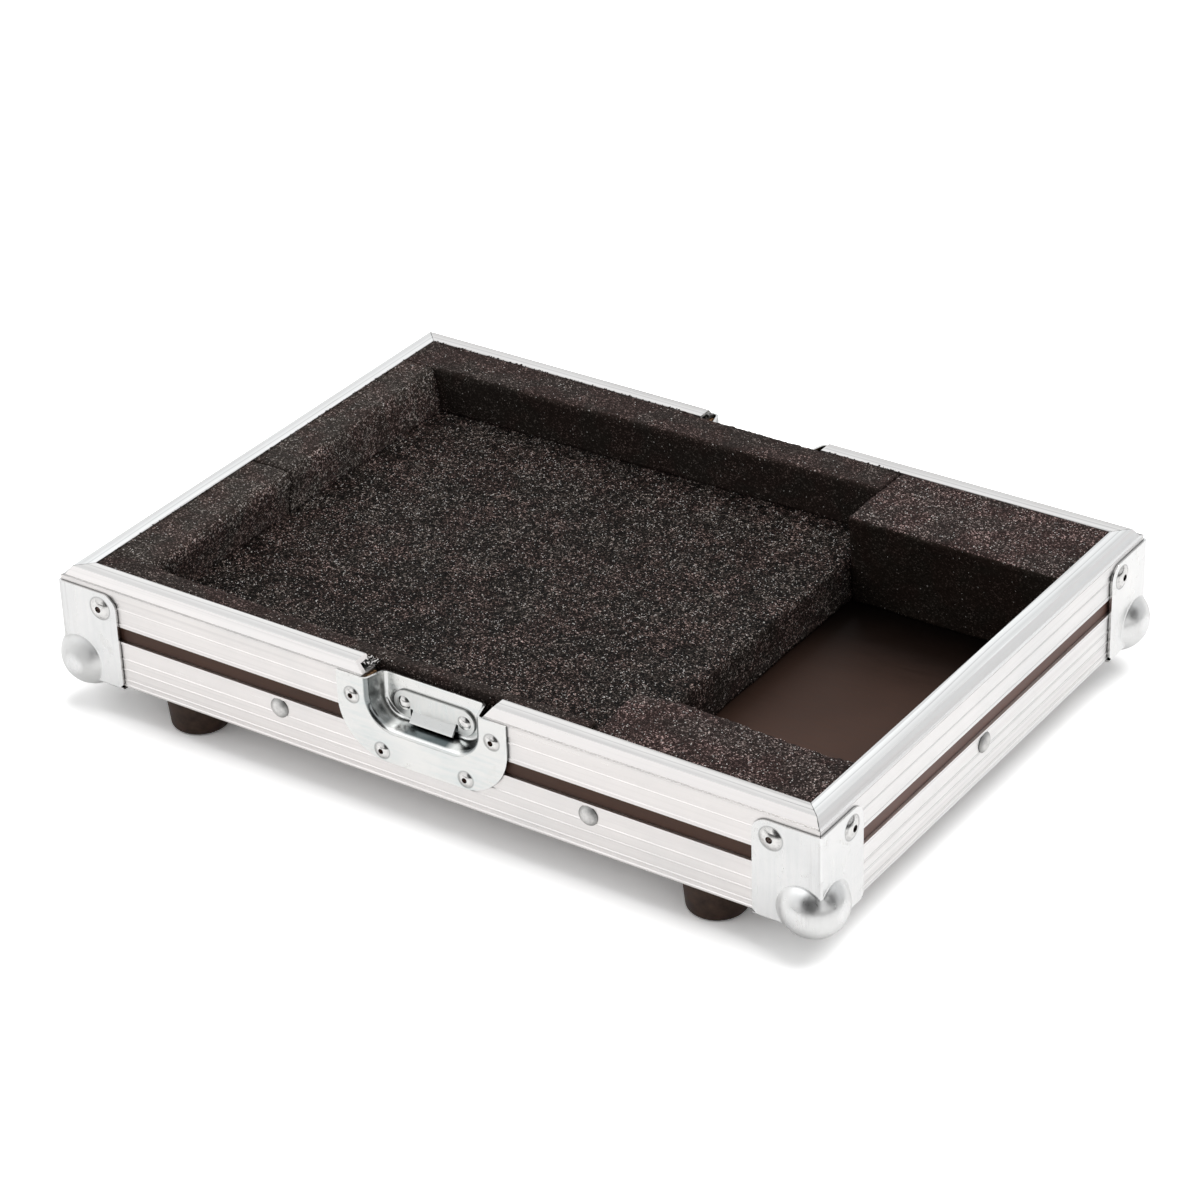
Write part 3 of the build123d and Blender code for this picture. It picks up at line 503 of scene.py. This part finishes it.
# Copies of one foam for different faces: some differ by how the foam was cut, and some are painted lighter or darker by
# how the face is lit. The inner faces' and the pad end's foams are painted lighter, and the last one darker, for the
# back block's front face in shade
foam_coarse = foam("foam_coarse", (0.0228, 0.0166, 0.0144), 0.00079, 1.0)
foam_top = foam("foam_top", (0.0473, 0.0322, 0.0293), 0.00080, 0.62, spark=0.990)
foam_fine = foam("foam_fine", (0.0350, 0.0246, 0.0218), 0.00076, 0.44, spark=0.997)
foam_side = foam("foam_side", (0.0490, 0.0380, 0.0335), 0.00078, 0.50, spark=0.996)
foam_inner = foam("foam_inner", (0.0960, 0.0735, 0.0655), 0.00080, 0.62, spark=0.984)
foam_end = foam("foam_end", (0.0430, 0.0330, 0.0290), 0.00080, 0.62, spark=0.988)
foam_knife = foam("foam_knife", (0.0376, 0.0286, 0.0244), 0.00078, 0.27, 0.0002, 0.9975)
foam_in_shade = foam("foam_in_shade", (0.0300, 0.0220, 0.0178), 0.00078, 0.22, 0.0002, 0.9990)

# Looks of the solids that stay, by the ends of their names. The first that fits counts, and rails have their own.
LOOKS = (
    ("_ball_corner", corner_zinc), ("_catch_dish", dish_zinc), ("_strike_plate", strike_zinc),
    ("rail_rivets", pan_metal), ("_rivets", rivet_metal), ("foot_screws", screw_metal), ("foot_washers", screw_metal),
    ("_foot", foot_rubber), ("base_panel", ply[2]), ("front_wall", ply[1]), ("back_wall", ply[1]),
    ("left_wall", ply[0]), ("right_wall", ply[0]),
)


def look_of(name):
    if name.endswith("_base_rail") or "_rim_rail" in name:
        kind = "base" if name.endswith("_base_rail") else "rim"
        return rails[kind, "x" if name.startswith(("front_", "back_")) else "y"]
    return next((look for ending, look in LOOKS if name.endswith(ending)), None)


for name, solid in nodes.items():
    look = look_of(name)
    if look:
        for slot in solid.material_slots:
            slot.material = look

# Foam
# Each side's axis, and whether it lies at that axis's far end
SIDES = {"left": (0, 0), "right": (0, 1), "front": (1, 0), "back": (1, 1), "bottom": (2, 0), "top": (2, 1)}
# Levels; the room inside the walls, with the pad's end; and the joints of the strips at the left, from front to back
FLOOR_TOP, PAD_TOP, FOAM_TOP = 31.0, 59.5, 88.3
INNER, PAD_END, RIGHT, BACK = 14.6, 349.7, 485.4, 337.4
FRONT_JOINT, MIDDLE_JOINT, BACK_JOINT = 29.3, 157.15, 307.5

# How far the foam swells and how deep it is pitted, each with the length over which it does so, in millimetres
SWELL, PITS = (0.45, 17.0), ((0.34, 3.1), (0.22, 1.3))
# How much of the pits is left on a side that was cut with a sharper blade
SMOOTH_PITS = 0.35
# Over what length its edges are chipped, how deep at least and how much deeper at most, and the share of that which
# is left beside the edge itself
CHIP_LENGTH, CHIP_LEAST, CHIP_MORE, CHIP_BESIDE = 2.4, 0.35, 1.5, 0.45
# How far the foam may stand out beside a hidden side
CLEARANCE = 0.25


def steps_along(points, at):
    """The value at one place of a line through points given as (place, value)."""
    if at <= points[0][0]:
        return points[0][1]
    for (low, first), (high, second) in zip(points, points[1:]):
        if at <= high:
            return between(first, second, (at - low) / (high - low))
    return points[-1][1]


def scatter_crumbs(mesh, crumbs, look):
    """Torn bits of foam. crumbs lists how many lie between two points, and how large they are."""
    dice = random.Random(len(mesh.verts))
    for count, first, second, size in crumbs:
        for _ in range(count):
            middle = place(*(dice.uniform(a, b) for a, b in zip(first, second)))
            reach = size * dice.uniform(0.4, 1.0) / 2000
            bit = bmesh.ops.create_icosphere(mesh, subdivisions=1, radius=reach, matrix=Matrix.Translation(middle))
            squash = Vector((dice.uniform(0.6, 1.5), dice.uniform(0.6, 1.5), dice.uniform(0.4, 0.9)))
            for point in bit["verts"]:
                offset = (point.co - middle) * squash * dice.uniform(0.55, 1.35)
                point.co = middle + offset
                for face in point.link_faces:
                    face.material_index = look


def foam_block(name, bounds, step, free, looks, proud=0.0, joined=None, crumbs=(), smooth=()):
    """A cut piece of plank foam. bounds(u, v, t) is its shape in millimetres, step the size of its mesh's faces.

    free names the sides that show. Where it is a dict, a side may show only where its function of a point says so.
    Each free side is pitted and slightly wavy, and chipped along its edges. looks gives each side's material.
    proud lifts the top above its bounds. joined(point) is true where a free side meets the next piece, so that the two
    run on without a step. The smooth sides were cut with a sharper blade, so that they are less pitted.
    """
    corner = [Vector(bounds(u, v, t)) for u, v, t in ((0, 0, 0), (1, 0, 0), (0, 1, 0), (0, 0, 1))]
    count = [max(2, round((corner[axis + 1] - corner[0]).length / step)) for axis in range(3)]
    out = {}
    for side, (axis, end) in SIDES.items():
        out[side] = Vector((0, 0, 0))
        out[side][axis] = 1 if end else -1
    mesh = bmesh.new()
    grid = {}

    def vertex(i, j, k):
        key = (i, j, k)
        if key in grid:
            return grid[key]
        point = Vector(bounds(i / count[0], j / count[1], k / count[2]))
        on = [side for side, (axis, end) in SIDES.items() if key[axis] == (count[axis] if end else 0)]
        still = joined is not None and joined(point)
        open_sides = {side for side in free if side == "top" or not still}
        if isinstance(free, dict):
            open_sides = {side for side in open_sides if free[side] is None or free[side](point)}
        near = 0
        for side in open_sides:
            axis, end = SIDES[side]
            near += (count[axis] - key[axis] if end else key[axis]) <= 1
        shown = [side for side in on if side in open_sides]
        for side in shown:
            pits = sum(depth * noise.noise(point / length) for depth, length in PITS)
            swell = SWELL[0] * noise.noise(point / SWELL[1]) + pits * (SMOOTH_PITS if side in smooth else 1.0)
            move = swell + (proud if side == "top" else 0.0)
            if near > 1:
                chip = abs(noise.noise(point / CHIP_LENGTH + Vector((5, 5, 5))))
                move -= (CHIP_LEAST + CHIP_MORE * chip) * (1.0 if len(shown) > 1 else CHIP_BESIDE)
            if len(on) > len(shown):
                move = min(move, CLEARANCE)
            point += out[side] * move
        grid[key] = mesh.verts.new(place(*point))
        return grid[key]

    slots = []
    for side, (axis, end) in SIDES.items():
        look = looks.get(side, looks["rest"])
        if look not in slots:
            slots.append(look)
        first, second = [a for a in range(3) if a != axis]
        layer = count[axis] if end else 0
        for a in range(count[first]):
            for b in range(count[second]):
                ring = []
                for da, db in ((0, 0), (1, 0), (1, 1), (0, 1)):
                    key = [0, 0, 0]
                    key[axis], key[first], key[second] = layer, a + da, b + db
                    ring.append(vertex(*key))
                if (end == 0) != (axis == 1):
                    ring.reverse()
                face = mesh.faces.new(ring)
                face.smooth = True
                face.material_index = slots.index(look)
    scatter_crumbs(mesh, crumbs, slots.index(looks.get("top", looks["rest"])))
    data = bpy.data.meshes.new(name)
    mesh.to_mesh(data)
    mesh.free()
    for look in slots:
        data.materials.append(look)
    piece = bpy.data.objects.new(name, data)
    scene.collection.objects.link(piece)
    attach(piece, "root")
    return piece


def eased(at, start, end):
    return min(max((at - start) / (end - start), 0.0), 1.0)


# The shapes below take three shares from 0 to 1, to the right, to the back and upwards, and give a point in millimetres
def pad_shape(u, v, t):
    end = PAD_END + 0.9 * (1 - t) * noise.noise(Vector((v * 9.0, 3.1, 0.0)))
    far = max(0.0, (v - 0.78) / 0.22)
    edge = end - 1.6 * far * (1 - t) * (1 - far)
    return between(INNER, edge, u), between(INNER, BACK, v), between(FLOOR_TOP, PAD_TOP, t)


def front_strip_shape(u, v, t):
    x = between(INNER, PAD_END, u)
    edge = between(29.0, 22.2, u) + 0.7 * noise.noise(Vector((x / 38.0, 1.0, 0)))
    edge = between(FRONT_JOINT, edge, eased(x, 48, 70))
    return x, between(INNER, edge, v), between(PAD_TOP, FOAM_TOP, t)


def back_strip_shape(u, v, t):
    x = between(INNER, PAD_END, u)
    edge = between(307.8, 314.4, u) + 0.5 * noise.noise(Vector((x / 45.0, 7.0, 0)))
    edge = between(BACK_JOINT, edge, eased(x, 38, 60))
    return x, between(edge, BACK, v), between(PAD_TOP, FOAM_TOP, t)


def left_strip_shape(near, far, widths):
    """The shape of a strip that leans: 25 mm wide at its foot, and at its top as widths says for near and far."""
    def shape(u, v, t):
        y = between(near, far, v)
        top = between(widths[0], widths[1], v) + 0.7 * noise.noise(Vector((y / 33.0, 0, 4.0)))
        lean = t ** 2 * (3 - 2 * t)
        edge = INNER + between(25.0, top, lean) - 1.6 * max(0.0, t - 0.7) / 0.3
        return between(INNER, edge, u), y, between(PAD_TOP, FOAM_TOP, t)
    return shape


# The front block's back face, y by x, and its left end, x by y. They were sawn by hand and wander by a few millimetres
BLOCK_EDGE = ((351.2, 57.4), (353, 57.8), (369, 59.2), (380, 61.2), (400.5, 60.7), (421.6, 60.2), (444.4, 58.0),
              (471.5, 58.0), (485.4, 60.4))
BLOCK_END = ((14.6, 351.6), (21, 354.6), (34, 352.6), (46, 351.4), (60, 351.8))


def front_block_shape(u, v, t):
    y_far = steps_along(BLOCK_EDGE, between(351.2, RIGHT, u)) - 0.4 * (1 - t)
    y = between(INNER, y_far, v)
    start = steps_along(BLOCK_END, y)
    return between(start, RIGHT, u), y, between(FLOOR_TOP, FOAM_TOP, t)


def back_block_shape(u, v, t):
    x = between(PAD_END + 0.6, RIGHT, u)
    edge = between(281.9, 276.4, t) + 0.5 * noise.noise(Vector((x / 30.0, 2.0, t * 2)))
    return x, between(edge, BACK, v), between(FLOOR_TOP, FOAM_TOP, t)


def in_cut(point):
    """True where the rim rail is sawn away, so that the foam behind it shows."""
    return 207 < point.x < 297 and point.z > 82


def fringe(side):
    """Crumbs along the foam's outer top edge, over the rail's inner edge."""
    if side == "left":
        return [(300, (14.0, 30, 88.2), (15.8, 335, 88.7), 1.3)]
    return [(250, (16, 336.2, 88.3), (204, 338.3, 88.8), 1.4), (70, (300, 336.2, 88.3), (349, 338.3, 88.8), 1.4)]


foam_pieces = [
    foam_block("floor_pad_foam", pad_shape, 1.9, {"top", "right"},
               {"top": foam_coarse, "right": foam_end, "rest": foam_knife}, smooth=("right",)),
    foam_block("front_strip_foam", front_strip_shape, 1.4, {"top": None, "back": None, "front": in_cut},
               {"top": foam_fine, "front": foam_fine, "rest": foam_knife}, joined=lambda p: p.x < 50 and p.y > 22,
               crumbs=[(60, (208, 14.2, 84.6), (296, 15.6, 87.8), 1.6), (24, (288, 12.8, 84.2), (297, 15.6, 88.4), 2.2),
                       (18, (206, 13.2, 84.6), (213, 15.6, 88.6), 2.0)], smooth=("top",)),
    foam_block("back_strip_foam", back_strip_shape, 1.4, {"top": None, "front": None, "back": in_cut},
               {"top": foam_fine, "front": foam_knife, "rest": foam_fine}, proud=0.35,
               joined=lambda p: p.x < 40 and p.y < 316, crumbs=fringe("back"), smooth=("top", "front")),
    foam_block("left_strip_front_foam", left_strip_shape(FRONT_JOINT, MIDDLE_JOINT - 0.15, (31.0, 28.5)), 1.5,
               {"top", "right", "back"}, {"top": foam_side, "right": foam_inner, "rest": foam_knife}, proud=0.1,
               crumbs=fringe("left"), smooth=("top", "right")),
    foam_block("left_strip_back_foam", left_strip_shape(MIDDLE_JOINT + 0.15, BACK_JOINT, (28.0, 22.5)), 1.5,
               {"top", "right", "front"}, {"top": foam_side, "right": foam_inner, "rest": foam_knife}, proud=0.1,
               smooth=("top", "right")),
    foam_block("front_block_foam", front_block_shape, 1.35, {"top", "back", "left"},
               {"top": foam_top, "rest": foam_knife}),
    foam_block("back_block_foam", back_block_shape, 1.35, {"top", "front", "left"},
               {"top": foam_top, "front": foam_in_shade, "rest": foam_knife}, proud=0.3),
]
for piece in foam_pieces:
    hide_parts(piece.name.removesuffix("_foam"))

# How many points a sliver is bent over, and how thick it is, in metres
SLIVER_ROWS, SLIVER_THICKNESS = 6, 0.00012


def swarf(name, count, first, second, size, seed):
    """Curled slivers of aluminium that the saw left at the end of a cut rail."""
    dice = random.Random(seed)
    mesh = bmesh.new()
    for _ in range(count):
        middle = place(*(dice.uniform(a, b) for a, b in zip(first, second)))
        length, width = size * dice.uniform(0.5, 1.0) / 1000, size * dice.uniform(0.12, 0.35) / 1000
        turn = Matrix.Rotation(dice.uniform(0, 6.28), 3, "Z") @ Matrix.Rotation(dice.uniform(-1.2, 1.2), 3, "X")
        curl = dice.uniform(0.6, 2.6)
        rows = []
        for step in range(SLIVER_ROWS):
            angle = curl * (step / (SLIVER_ROWS - 1) - 0.5)
            bend = Vector((math.sin(angle), 0, 1 - math.cos(angle))) * length / curl
            rows.append([mesh.verts.new(middle + turn @ (bend + Vector((0, width * w, 0)))) for w in (-0.5, 0.5)])
        for (a, b), (c, d) in zip(rows, rows[1:]):
            mesh.faces.new((a, b, d, c)).smooth = True
    data = bpy.data.meshes.new(name)
    mesh.to_mesh(data)
    mesh.free()
    data.materials.append(rails["rim", "x"])
    piece = bpy.data.objects.new(name, data)
    piece.modifiers.new("sheet", "SOLIDIFY").thickness = SLIVER_THICKNESS
    scene.collection.objects.link(piece)
    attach(piece, "root")


swarf("front_cut_swarf", 34, (205.5, 7.5, 84.8), (214.5, 15.5, 88.4), 3.2, 5)
swarf("back_cut_swarf", 7, (206.0, 338.5, 85.2), (212.0, 344.0, 88.2), 4.6, 11)

# Floor, light and camera
FLOOR_REACH, FLOOR_LEVEL = 12, -0.0001
floor_corners = [(x * FLOOR_REACH, y * FLOOR_REACH, FLOOR_LEVEL) for x, y in ((-1, -1), (1, -1), (1, 1), (-1, 1))]
floor_mesh = bpy.data.meshes.new("floor")
floor_mesh.from_pydata(floor_corners, [], [(0, 1, 2, 3)])
floor = bpy.data.objects.new("floor", floor_mesh)
scene.collection.objects.link(floor)


def calc_in(tree, operation, first, second):
    return node_in(tree, "Math", {0: first, 1: second}, operation=operation).outputs[0]


def seen_directly(tree):
    """1 for the rays that show a background: camera rays, and those seen in metal or through glass."""
    path = node_in(tree, "LightPath").outputs
    first = calc_in(tree, "MAXIMUM", path["Is Camera Ray"], path["Is Glossy Ray"])
    return calc_in(tree, "MAXIMUM", first, path["Is Transmission Ray"])


def along_way(tree, place, way):
    return node_in(tree, "VectorMath", {0: place, 1: way}, operation="DOT_PRODUCT").outputs["Value"]


# The studio's dark sides, behind the camera and to the right, and where the paper darkens towards them, in metres
DARK_SIDES = (0.50, -0.866, 0.0), (0.94, -0.34, 0.0)
PAPER_END = {"From Min": 0.47, "From Max": 0.60}
# How much brighter the paper looks directly than in metal, how far the case shades it most, and how much
PAPER_GAIN, SHADE_REACH = 1.9, 0.05
CLOSE_SHADE = {"From Min": 0.35, "From Max": 0.95, "To Min": 0.80}

paper = bpy.data.materials.new("floor_paper")
paper.use_nodes = True
tree = paper.node_tree
tree.nodes.clear()
matt = node_in(tree, "BsdfDiffuse", {"Color": (0.8, 0.8, 0.8, 1)}).outputs[0]
# What metal mirrors of the floor grows dark where the paper ends, towards the dark room
shine = node_in(tree, "LightPath").outputs["Is Glossy Ray"]
spot = node_in(tree, "TexCoord").outputs["Object"]
reach = calc_in(tree, "MAXIMUM", *[along_way(tree, spot, way) for way in DARK_SIDES])
past = node_in(tree, "MapRange", {"Value": reach, **PAPER_END}).outputs["Result"]
past = calc_in(tree, "MULTIPLY", past, shine)
# Painted shadow: the paper is darkened where the case stands close by, so that the shadow is darkest close under the
# case and soon fades out
bright = node_in(tree, "MapRange", {"Value": shine, "To Min": PAPER_GAIN, "To Max": 1.0}).outputs["Result"]
closed = node_in(tree, "AmbientOcclusion", {"Distance": SHADE_REACH}, samples=16).outputs["AO"]
closed = node_in(tree, "MapRange", {"Value": closed, **CLOSE_SHADE}).outputs["Result"]
bright = calc_in(tree, "MULTIPLY", bright, closed)
shown = node_in(tree, "Mix", {0: past, 6: bright, 7: (0.05, 0.05, 0.05, 1)}, data_type="RGBA").outputs[2]
white = node_in(tree, "BsdfDiffuse", {"Color": shown}).outputs[0]
glow = node_in(tree, "MapRange", {"Value": shine, "To Min": 0.06, "To Max": 0.10}).outputs["Result"]
glow = calc_in(tree, "MULTIPLY", glow, calc_in(tree, "SUBTRACT", 1.0, past))
lift = node_in(tree, "Emission", {"Strength": glow}).outputs[0]
both = node_in(tree, "AddShader", {0: white, 1: lift}).outputs[0]
picked = node_in(tree, "MixShader", {0: seen_directly(tree), 1: matt, 2: both}).outputs[0]
node_in(tree, "OutputMaterial", {"Surface": picked})
floor_mesh.materials.append(paper)

# The studio that metal reflects is white, but for a few stretches: greyer ones behind the case and at the left, a
# brighter one high at the left, and two dark ones, by the camera and at the right. Each has its direction, its reach
# and the softness of its edge in degrees, and its tone.
STRETCHES = (
    ((0.64, 0.70, 0.28), 24, 14, 0.70),
    ((-0.50, 0.70, 0.50), 20, 16, 0.86),
    ((-0.50, -0.40, 0.85), 26, 12, 1.55),
    ((-0.50, -0.74, 0.45), 13, 9, 0.88),
    ((0.31, -0.86, 0.42), 31, 6, 0.05),
    ((0.88, 0.08, 0.42), 21, 6, 0.09),
)
world = bpy.data.worlds.new("studio")
scene.world = world
world.use_nodes = True
tree = world.node_tree
tree.nodes.clear()
towards = node_in(tree, "TexCoord").outputs["Generated"]
shine = node_in(tree, "LightPath").outputs["Is Glossy Ray"]
tone = (1, 1, 1, 1)
for direction, reach, soft, grey in STRETCHES:
    aligned = along_way(tree, towards, tuple(Vector(direction).normalized()))
    outer, inner = (math.cos(math.radians(angle)) for angle in (reach + soft, max(reach - soft, 0)))
    limits = {"Value": aligned, "From Min": outer, "From Max": inner}
    near = node_in(tree, "MapRange", limits, interpolation_type="SMOOTHSTEP").outputs["Result"]
    near = calc_in(tree, "MULTIPLY", near, shine)
    tone = node_in(tree, "Mix", {0: near, 6: tone, 7: (grey, grey * 1.01, grey * 1.02, 1)}, data_type="RGBA").outputs[2]
light = node_in(tree, "Background", {"Color": (1, 1, 1, 1), "Strength": 0.28}).outputs[0]
shown = node_in(tree, "Background", {"Color": tone, "Strength": 1.0}).outputs[0]
picked = node_in(tree, "MixShader", {0: seen_directly(tree), 1: light, 2: shown}).outputs[0]
node_in(tree, "OutputWorld", {"Surface": picked})


def lamp(name, towards, strength, spread, only_metal=False):
    data = bpy.data.lights.new(name, "SUN")
    data.energy = strength
    data.angle = math.radians(spread)
    item = bpy.data.objects.new(name, data)
    item.rotation_euler = Vector(towards).to_track_quat("-Z", "Y").to_euler()
    item.visible_glossy, item.visible_diffuse = only_metal, not only_metal
    scene.collection.objects.link(item)


lamp("top_light", (-0.22, -0.22, -1.0), 1.82, 52)
lamp("left_light", (0.75, 0.60, -0.8), 0.40, 40)
lamp("spark_light", (0.45, -0.50, -1.0), 0.22, 10, only_metal=True)

camera_data = bpy.data.cameras.new("camera")
camera_data.lens = 115.79
camera_data.sensor_width = 36.0
camera_data.clip_start = 0.05
camera_data.clip_end = 100.0
camera = bpy.data.objects.new("camera", camera_data)
eye = Vector((1.08334, -1.54945, 1.16368))
forward = Vector((-0.495053, 0.706223, -0.506134))
level = forward.cross(Vector((0, 0, 1))).normalized()
upright = level.cross(forward)
roll = math.radians(-2.036)
side = level * math.cos(roll) + upright * math.sin(roll)
upward = side.cross(forward)
camera.matrix_world = Matrix.Translation(eye) @ Matrix((side, upward, -forward)).transposed().to_4x4()
scene.collection.objects.link(camera)
scene.camera = camera
scene.view_settings.view_transform = "Standard"

bpy.context.view_layer.update()
